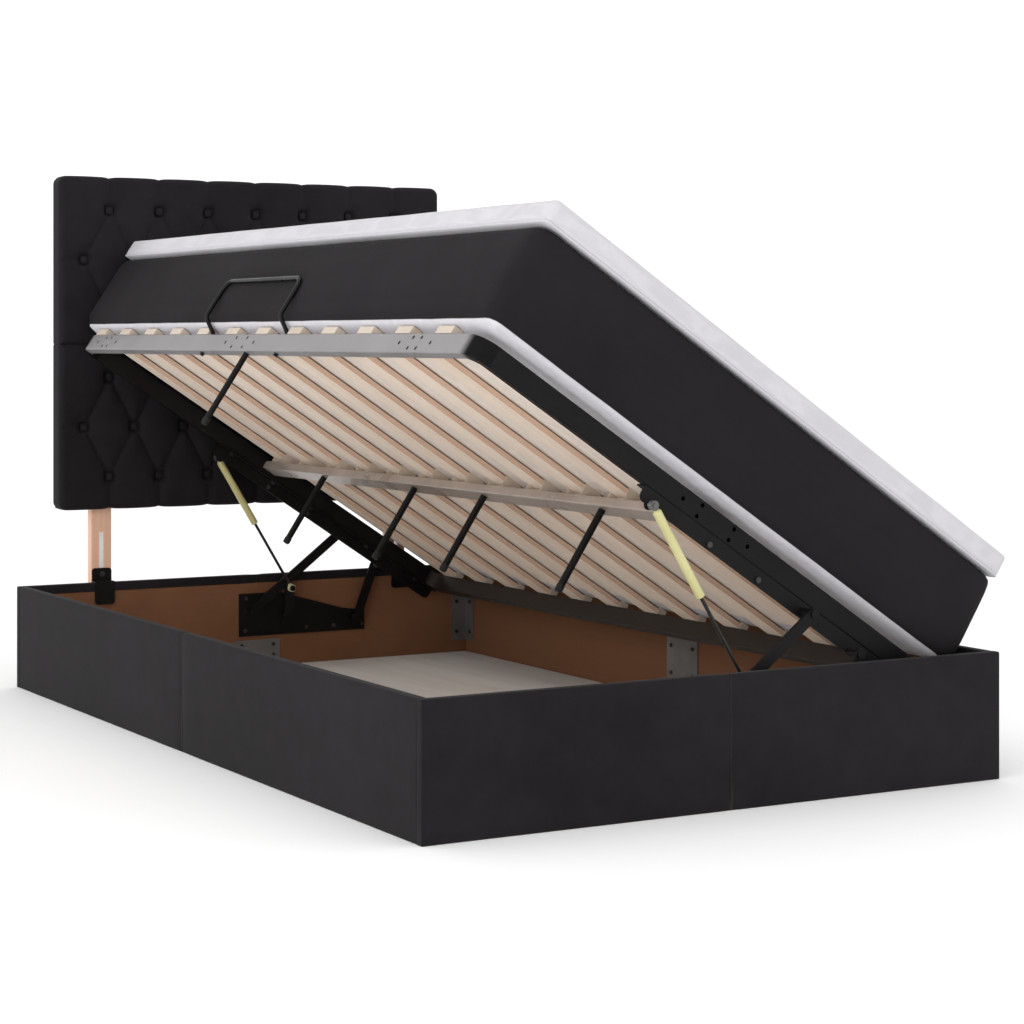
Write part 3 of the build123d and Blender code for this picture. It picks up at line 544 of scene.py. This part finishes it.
def tufted(name, node, z0, z1, r_top, r_bot, seam):
    zc = (z0 + z1) / 2
    segs = segments(z0, z1, True, True)
    buttons = [(x, zc + dz) for dz in (ROW_DZ, -ROW_DZ) for x in ROW_A] + [(x, zc) for x in ROW_B]
    roll = 15.0
    # columns and rows, closer together near the edges
    edge = [0.0, 0.35, 1.1, 2.3, 4.0, 6.2, 9.0, 12.4]

    def spread(lo, hi, n):
        inner = [lo + 15 + (hi - lo - 30) * i / n for i in range(n + 1)]
        return [lo + e for e in edge] + inner + [hi - e for e in reversed(edge)]

    xs, zs = spread(-HX, HX, 300), spread(z0, z1, 112)
    rings = []
    for z in zs:
        row = []
        for x in xs:
            # the border rolls over less where the other panel follows
            e = min(x + HX, HX - x, (z - z0) * (2.2 if seam == "low" else 1.0),
                    (z1 - z) * (2.2 if seam == "top" else 1.0))
            # rounded corners: the square corner is drawn onto a disc
            px, pz = x, z
            for (cx, cz, r, sx, sz) in ((HX, z1, r_top, 1, 1), (-HX, z1, r_top, -1, 1),
                                        (HX, z0, r_bot, 1, -1), (-HX, z0, r_bot, -1, -1)):
                ox, oz = cx - sx * r, cz - sz * r
                vx, vz = (x - ox) * sx, (z - oz) * sz
                if vx > 0 and vz > 0:
                    k = max(vx, vz) / math.hypot(vx, vz)
                    px, pz = ox + sx * vx * k, oz + sz * vz * k
            dep = 0.0
            fold, near = 0.0, 60.0
            for a, b, wgt in segs:
                if min(a[0], b[0]) - 60 > x or max(a[0], b[0]) + 60 < x:
                    continue
                if min(a[1], b[1]) - 60 > z or max(a[1], b[1]) + 60 < z:
                    continue
                d, t = seg_dist(x, z, a, b)
                away = wgt * (1.0 if wgt == 1.0 else (1.0 - 0.55 * t))
                fold = max(fold, away * (4.6 * math.exp(-d / 3.2) + 3.4 * math.exp(-(d / 15.0) ** 2)))
                near = min(near, d / max(0.35, away))
            dimple = 0.0
            for (bx, bz) in buttons:
                if abs(bx - x) < 60 and abs(bz - z) < 60:
                    q = math.hypot(x - bx, z - bz)
                    sq = max(abs(x - bx), abs(z - bz))
                    well = 5.5 * (1 - smooth(11.5, 17.0, sq))
                    dimple = max(dimple, well + 9.5 * math.exp(-(q / 17.0) ** 2) + 2.6 * math.exp(-(q / 34.0) ** 2))
            dep += max(fold, dimple) + 0.25 * min(fold, dimple)
            dep += 2.2 * (1 - smooth(0, 46, near))
            dep += 1.0 + 0.7 * lump(x, z, z0, 75.0, 1.4) + 0.25 * lump(x, z, z0, 22.0, 4.0)
            # roll at the border
            if e < roll:
                dep = dep * (0.35 + 0.65 * smooth(0, roll, e)) + roll - math.sqrt(max(0.0, roll ** 2 - (roll - e) ** 2))
            # the outline dips where a pleat meets it
            if e < 40:
                dip = 0.0
                for xa in ROW_A:
                    dip = max(dip, math.exp(-abs(x - xa) / 6.5))
                low = min(z - z0, z1 - z)
                pull = 3.4 * dip * (1 - smooth(0, 34, low))
                # bumps between the pleats
                cell = (x + HX) / HB_W * 8
                bump = 0.9 * math.sin(math.pi * (cell % 1.0)) * (1 - smooth(0, 34, low))
                sgn = 1 if z > zc else -1
                if (seam == "top") == (z > zc):
                    pull, bump = 0.0, 0.9
                pz -= sgn * pull
                pz += sgn * (bump - 0.9) * (1 - smooth(0, 20, low))
            dep = min(max(dep, 0.3), 21.0)
            row.append((px * MM, (HB_FRONT + dep) * MM, pz * MM))
        rings.append(row)
    verts, faces = skin_rings(rings, closed=False)
    # sides and the turn over the back, from the border loop
    nx, nz = len(xs), len(zs)
    border = [i for i in range(nx)] + [j * nx + nx - 1 for j in range(1, nz)] \
        + [(nz - 1) * nx + i for i in range(nx - 2, -1, -1)] + [j * nx for j in range(nz - 2, 0, -1)]
    last = border
    n_b = len(border)
    for (y, ins) in ((HB_FRONT + 19.5, 0.0), (HB_FRONT + 26, -0.2), (HB_CORE + 8, -0.2), (HB_CORE + 17, 0.0),
                     (HB_BACK - 3.2, 0.0), (HB_BACK - 1.2, 0.7), (HB_BACK - 0.1, 2.4), (HB_BACK + 0.5, 5.5),
                     (HB_BACK + 0.7, 14.0), (HB_BACK + 0.6, 24.0), (HB_BACK + 0.1, 25.0)):
        ids = []
        for k in border:
            x, _, z = verts[k]
            x, z = x / MM, z / MM
            ox = math.copysign(min(1.0, max(0.0, (abs(x) - HX + 40) / 40)), x)
            dz = z - zc
            hz = (z1 - z0) / 2
            oz = math.copysign(min(1.0, max(0.0, (abs(dz) - hz + 40) / 40)), dz)
            wob = 0.0 if y < HB_BACK else 0.5 * lump(x, z, y, 25.0, 9.0)
            verts.append(((x - ox * (ins + wob)) * MM, (y + 0.12 * lump(x, z, y, 30.0, 6.0)) * MM,
                          (z - oz * (ins + wob)) * MM))
            ids.append(len(verts) - 1)
        for i in range(n_b):
            faces.append((last[i], last[(i + 1) % n_b], ids[(i + 1) % n_b], ids[i]))
        last = ids
    o = mesh_object(name, verts, faces, VELVET_HB)
    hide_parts(node)
    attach(o, "headboard")
    return o


tufted("headboard_lower_tufting", "headboard_lower_pad", HB_Z0, HB_SEAM, 3.0, 20.0, "top")
tufted("headboard_upper_tufting", "headboard_upper_pad", HB_SEAM, HB_Z1, 20.0, 3.0, "low")


def covered_buttons():
    parts = []
    for z0, z1 in ((HB_Z0, HB_SEAM - 0.4), (HB_SEAM + 0.4, HB_Z1)):
        zc = (z0 + z1) / 2
        for dz, xs in ((ROW_DZ, ROW_A), (0.0, ROW_B), (-ROW_DZ, ROW_A)):
            for x in xs:
                rings = []
                for (s, d) in ((7.6, 16.6), (8.6, 14.6), (8.8, 12.8), (8.2, 11.4), (6.8, 10.4), (4.6, 9.8), (2.2, 9.5)):
                    ring = []
                    for k in range(28):
                        a = 2 * math.pi * k / 28
                        c, q = math.cos(a), math.sin(a)
                        m = (abs(c) ** 3.6 + abs(q) ** 3.6) ** (-1 / 3.6)
                        ring.append(((x + s * m * c) * MM, (HB_FRONT + d) * MM, (zc + dz + s * m * q) * MM))
                    rings.append(ring)
                parts.append(skin_rings(rings, closed=True, cap1=True))
    v, f = joined(parts)
    o = mesh_object("headboard_tuft_buttons", v, f, VELVET_HB)
    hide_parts("headboard_buttons")
    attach(o, "headboard")


covered_buttons()


# -------------------------------------------------------- mattress and topper
def plan(u0, u1, y, r, r_head, d, n_c=9, n_u=26, n_y=44):
    """Rounded rectangle, d inside its outline, with a fixed number of points and its own radius at the head."""
    a0, a1, b = u0 + d, u1 - d, y - d
    rr = max(r - d, 1.5)
    rr = min(rr, (a1 - a0) / 2 - 0.5, b - 0.5)
    rh = min(max(r_head - d, 1.5), (a1 - a0) / 2 - 0.5, b - 0.5)
    out = []

    def line(p, q, n):
        return [(p[0] + (q[0] - p[0]) * i / n, p[1] + (q[1] - p[1]) * i / n) for i in range(1, n)]

    def corner(cx, cy, q, s):
        return arc(cx, cy, q, s, s + 90, n_c)
    c1 = corner(a1 - rh, b - rh, rh, 0)
    c2 = corner(a0 + rh, b - rh, rh, 90)
    c3 = corner(a0 + rr, -b + rr, rr, 180)
    c4 = corner(a1 - rr, -b + rr, rr, 270)
    out += c1 + line(c1[-1], c2[0], n_u) + c2 + line(c2[-1], c3[0], n_y) + c3
    out += line(c3[-1], c4[0], n_u) + c4 + line(c4[-1], c1[0], n_y)
    return out


def pad_mesh(name, u0, u1, y, r, r_head, prof, mat, low, high, shape):
    """Closed pad from a profile of (inset, height); low and high are the inner rings of its two faces."""
    rings = []
    for (d, n) in low + prof + high:
        ring = []
        for (u, v) in plan(u0, u1, y, r, r_head, d):
            du, dy, dn = shape(u, v, n, d)
            ring.append(((u + du) * MM, (v + dy) * MM, (n + dn) * MM))
        rings.append(ring)
    v, f = skin_rings(rings, closed=True, cap0=False, cap1=False)
    n = len(rings[0])
    f.append(tuple(range(n))[::-1])
    k = (len(rings) - 1) * n
    f.append(tuple(k + j for j in range(n)))
    return mesh_object(name, v, f, mat, matrix=PLACE)


def fill_pressure(o, voxel, cap, pressure=4.0, frames=20):
    """Lets cloth with inner pressure crown a pad and keeps every point within cap of its start.

    With a voxel size the pad is first meshed evenly, and smoothed a little at the end."""
    sc = bpy.context.scene
    keep = o.matrix_world.copy()
    o.matrix_world = Matrix.Identity(4)
    bpy.context.view_layer.update()
    bpy.ops.object.select_all(action="DESELECT")
    o.select_set(True)
    bpy.context.view_layer.objects.active = o
    if voxel:
        m = o.modifiers.new("even", "REMESH")
        m.mode = "VOXEL"
        m.voxel_size = voxel
        m.use_smooth_shade = True
        bpy.ops.object.modifier_apply(modifier=m.name)
    start = [v.co.copy() for v in o.data.vertices]
    c = o.modifiers.new("fill", "CLOTH")
    c.settings.quality = 5
    c.settings.mass = 0.25
    c.settings.tension_stiffness = 30
    c.settings.compression_stiffness = 30
    c.settings.shear_stiffness = 15
    c.settings.bending_stiffness = 2.0
    c.settings.use_pressure = True
    c.settings.uniform_pressure_force = pressure
    c.settings.effector_weights.gravity = 0
    c.point_cache.frame_start, c.point_cache.frame_end = 1, frames
    for fr in range(1, frames + 1):
        sc.frame_set(fr)
    ev = o.evaluated_get(bpy.context.evaluated_depsgraph_get())
    moved = [v.co.copy() for v in ev.data.vertices]
    o.modifiers.remove(c)
    sc.frame_set(1)
    shift = [b - a for a, b in zip(start, moved)] if len(moved) == len(start) else []
    if any(d.length != d.length for d in shift):
        shift = []
    for v, a, d in zip(o.data.vertices, start, shift):
        v.co = a + (d * (cap / d.length) if d.length > cap else d)
    if voxel:
        m = o.modifiers.new("soft", "SMOOTH")
        m.factor, m.iterations = 0.5, 2
        bpy.ops.object.modifier_apply(modifier=m.name)
    o.matrix_world = keep
    bpy.context.view_layer.update()
    big = max((d.length for d in shift), default=0.0)
    print("filled", o.name, len(start), "points, largest move", round(big * 1000, 2), "mm")


def quarter(r, n0, up, n=8):
    """Rounded edge of a pad as (inset, height)."""
    out = []
    for i in range(n + 1):
        a = math.radians(90 * i / n)
        if up:                       # from the bottom face round to the side
            out.append((r - r * math.sin(a), n0 + r - r * math.cos(a)))
        else:                        # from the side round to the top face
            out.append((r - r * math.cos(a), n0 - r + r * math.sin(a)))
    return out


SLAT_Y = [29.5 + (k - 5.5) * 152.0 for k in range(12)]


def mattress():
    def shape(u, v, n, d):
        du = dy = dn = 0.0
        side = smooth(-4, 40, n) * (1 - smooth(150, 194, n)) if d < 1.0 else 0.0
        if d < 30:
            cx, cy = MAT_W / 2, 0.0
            out_u = smooth(MAT_W / 2 - 70, MAT_W / 2 - 5, abs(u - cx)) * math.copysign(1, u - cx)
            out_y = smooth(MAT_L / 2 - 70, MAT_L / 2 - 5, abs(v)) * math.copysign(1, v)
            b = 1.2 * side + 0.5 * lump(u, v, n, 260.0, 2.0) + 0.25 * lump(u, v, n, 70.0, 5.0)
            du, dy = out_u * b, out_y * b
        # the hinge end is fuller above its lower edge
        du += 22.0 * smooth(MAT_W - 420, MAT_W, u) * smooth(0, 40, n)
        if n < 0 and d > 20:
            # the cloth sinks a little between the slats
            g = min(abs(v - y) for y in SLAT_Y)
            dn = -0.9 * smooth(30, 62, g) + 0.25 * lump(u, v, n, 90.0, 8.0)
        return du, dy, dn
    low = [(d, MAT_N0) for d in (565, 470, 380, 300, 230, 170, 120, 85, 60, 44, 34)]
    prof = quarter(26, MAT_N0, True, 9) + [(0, n) for n in (36, 55, 75, 95, 115, 135, 152, 165)] + quarter(14, MAT_T, False, 6)
    high = [(d, MAT_T) for d in (30, 60, 110, 180, 280, 400, 565)]
    o = pad_mesh("mattress_body", 0, MAT_W, MAT_L / 2, 27, 9, prof, MATTRESS, low, high, shape)
    return o


def topper():
    t0, t1 = MAT_T + 0.5, MAT_T + 0.8 + TOP_T
    u0, u1, y = -TOP_OVER + 1.5, MAT_W + TOP_HINGE + 3, MAT_L / 2 + TOP_OVER + 0.5

    def shape(u, v, n, d):
        du = dy = dn = 0.0
        cx = MAT_W / 2
        if d < 26:
            out_u = smooth(MAT_W / 2 - 70, MAT_W / 2 - 5, abs(u - cx)) * math.copysign(1, u - cx)
            out_y = smooth(MAT_L / 2 - 70, MAT_L / 2 - 5, abs(v)) * math.copysign(1, v)
            b = 0.9 * lump(u, v, n, 190.0, 12.0) + 0.45 * lump(u, v, n, 52.0, 15.0) - 0.4
            du, dy = out_u * b, out_y * b
        if n > t1 - 3:
            # quilted top: shallow diamond puffs
            a, b2 = (u + v) / 150.0, (u - v) / 150.0
            q = min(abs(a - round(a)), abs(b2 - round(b2))) * 150.0
            dn = -1.8 * math.exp(-q / 9.0) * smooth(10, 60, d) - 0.4 + 0.5 * lump(u, v, n, 120.0, 3.0)
        return du, dy, dn
    low = [(d, t0) for d in (565, 470, 380, 300, 230, 170, 120, 80, 50, 30, 18, 10)]
    # a narrow welt along the lower edge, then the plain side
    prof = [(4.5, t0), (2.4, t0 + 0.3), (0.6, t0 + 1.4), (0.0, t0 + 2.6), (0.5, t0 + 3.9), (1.7, t0 + 4.7),
            (2.6, t0 + 5.3), (1.5, t0 + 6.2), (0.7, t0 + 8.0), (0.4, t0 + 11.0), (0.2, t0 + 18), (0.2, t0 + 26),
            (0.2, t0 + 33)] + quarter(8, t1, False, 5)
    high = [(d, t1) for d in (14, 26, 38, 52, 68, 86, 106, 128, 152, 178, 206, 236, 268, 302, 338, 376, 416, 458, 500, 540, 575)]
    o = pad_mesh("topper_body", u0, u1, y, 13, 5, prof, TOPPER, low, high, shape)
    return o


mat_o = mattress()
top_o = topper()
fill_pressure(mat_o, 0.012, 0.0020, 3.0, 10)
fill_pressure(top_o, 0.0, 0.0012, 3.0, 10)
for o, node, sl in ((mat_o, "mattress", "mattress_cloth"), (top_o, "topper", "topper_cloth")):
    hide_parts(node)
    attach(o, "platform")

# ------------------------------------------------- materials of the CAD nodes
LOOK = {
    "side_board_open_foot": BOARD, "side_board_open_head": BOARD, "side_board_hinge_foot": BOARD,
    "side_board_hinge_head": BOARD, "foot_board_open": BOARD, "foot_board_hinge": BOARD,
    "head_board_open": BOARD, "head_board_hinge": BOARD, "base_board_foot": FLOORBOARD,
    "base_board_head": FLOORBOARD, "base_battens": BATTEN, "corner_brackets": ZINC, "joining_plates": ZINC,
    "panel_screws": DARKBOLT, "headboard_clips": BLACK, "headboard_bolts": DARKBOLT, "lift_plate_foot": BLACK,
    "lift_plate_head": BLACK, "strut_bracket_foot": BLACK, "strut_bracket_head": BLACK,
    "link_arm_foot": BLACK, "link_arm_head": BLACK, "rear_link_foot": BLACK, "rear_link_head": BLACK,
    "strut_rod_foot": PISTON, "strut_rod_head": PISTON, "strut_cylinder_foot": YELLOW,
    # the frame rails are one steel, each given its own colour as painted reflection and shade: light grey on the open
    # rail, black on the foot and head rails, dark brown on the hinge rail, brownish grey on the centre rail
    "strut_cylinder_head": YELLOW, "frame_rail_open": RAIL_PAINTED_REFLECTION, "frame_rail_hinge": HINGE,
    "frame_rail_foot": BLACK, "frame_rail_head": BLACK, "frame_rail_centre": CENTRE_RAIL_REFLECTION,
    "slats_open_row": BIRCH, "slats_hinge_row": BIRCH, "slat_caps_side": CREAM, "slat_caps_centre": CREAM,
    "support_legs": BLACK, "support_feet": RUBBER, "lift_handle": GLOSS, "lift_bar_foot": BLACK,
    "lift_bar_head": BLACK, "lift_bar_bolts": DARKBOLT, "headboard_lower_core": BACKING,
    "headboard_upper_core": BACKING, "headboard_legs": BEECH, "headboard_strips": ZINC,
}
EDGE = {"slats_open_row": 0.7, "slats_hinge_row": 0.7, "base_board_foot": 0.5, "base_board_head": 0.5,
        "base_battens": 0.8, "link_arm_foot": 0.6, "link_arm_head": 0.6, "rear_link_foot": 0.6,
        "rear_link_head": 0.6, "lift_bar_foot": 0.5, "lift_bar_head": 0.5, "lift_plate_foot": 0.5,
        "lift_plate_head": 0.5, "support_legs": 0.4, "headboard_legs": 0.5, "slat_caps_side": 0.4,
        "slat_caps_centre": 0.4, "headboard_strips": 0.4, "corner_brackets": 0.4, "joining_plates": 0.4}
for name, o in NODES.items():
    m = LOOK.get(name)
    if m is not None:
        o.data.materials.clear()
        o.data.materials.append(m)
    if name in EDGE:
        b = o.modifiers.new("edge", "BEVEL")
        b.width = EDGE[name] * MM
        b.segments = 2
        b.limit_method = "ANGLE"
        b.angle_limit = math.radians(50)

# ----------------------------------------------------- floor, light and camera
fl = Nodes("studio_floor", rough=0.9, spec=0.1)
fv = fl.coords()
fl.color(fl.ramp(fl.noise(fv, 1.5, 2.0, 0.5), (0.3, (0.955, 0.955, 0.955)), (0.7, (0.97, 0.97, 0.97))))
floor = mesh_object("studio_floor", [(-40, -40, -0.0004), (40, -40, -0.0004), (40, 40, -0.0004), (-40, 40, -0.0004)],
                    [(0, 1, 2, 3)], fl.mat, flat=True)

world = bpy.data.worlds.new("studio")
bpy.context.scene.world = world
world.use_nodes = True
bg = world.node_tree.nodes["Background"]
bg.inputs["Color"].default_value = (1.0, 1.0, 1.0, 1)
bg.inputs["Strength"].default_value = 1.16


def area(name, loc, target, size, power):
    d = bpy.data.lights.new(name, "AREA")
    d.shape = "SQUARE"
    d.size = size
    d.energy = power
    o = bpy.data.objects.new(name, d)
    bpy.context.scene.collection.objects.link(o)
    o.location = loc
    o.rotation_euler = (Vector(target) - Vector(loc)).to_track_quat("-Z", "Y").to_euler()
    return o


area("key_left", (-4.2, -3.2, 2.6), (0, 0, 0.5), 2.6, 20.0)
area("fill_low", (-4.0, -2.6, 0.45), (0.15, 0.0, 0.55), 1.3, 38.0)

cam_d = bpy.data.cameras.new("view")
cam_d.lens = 84.57
cam_d.sensor_width = 36.0
cam_d.shift_y = -0.1684
cam_d.clip_end = 100.0
cam = bpy.data.objects.new("view", cam_d)
bpy.context.scene.collection.objects.link(cam)
cam.location = (-2.3666, -4.4037, 0.8057)
cam.rotation_euler = (math.radians(90), 0.0, math.radians(-29.715))
bpy.context.scene.camera = cam
bpy.context.scene.view_settings.view_transform = "Standard"

bpy.context.view_layer.update()
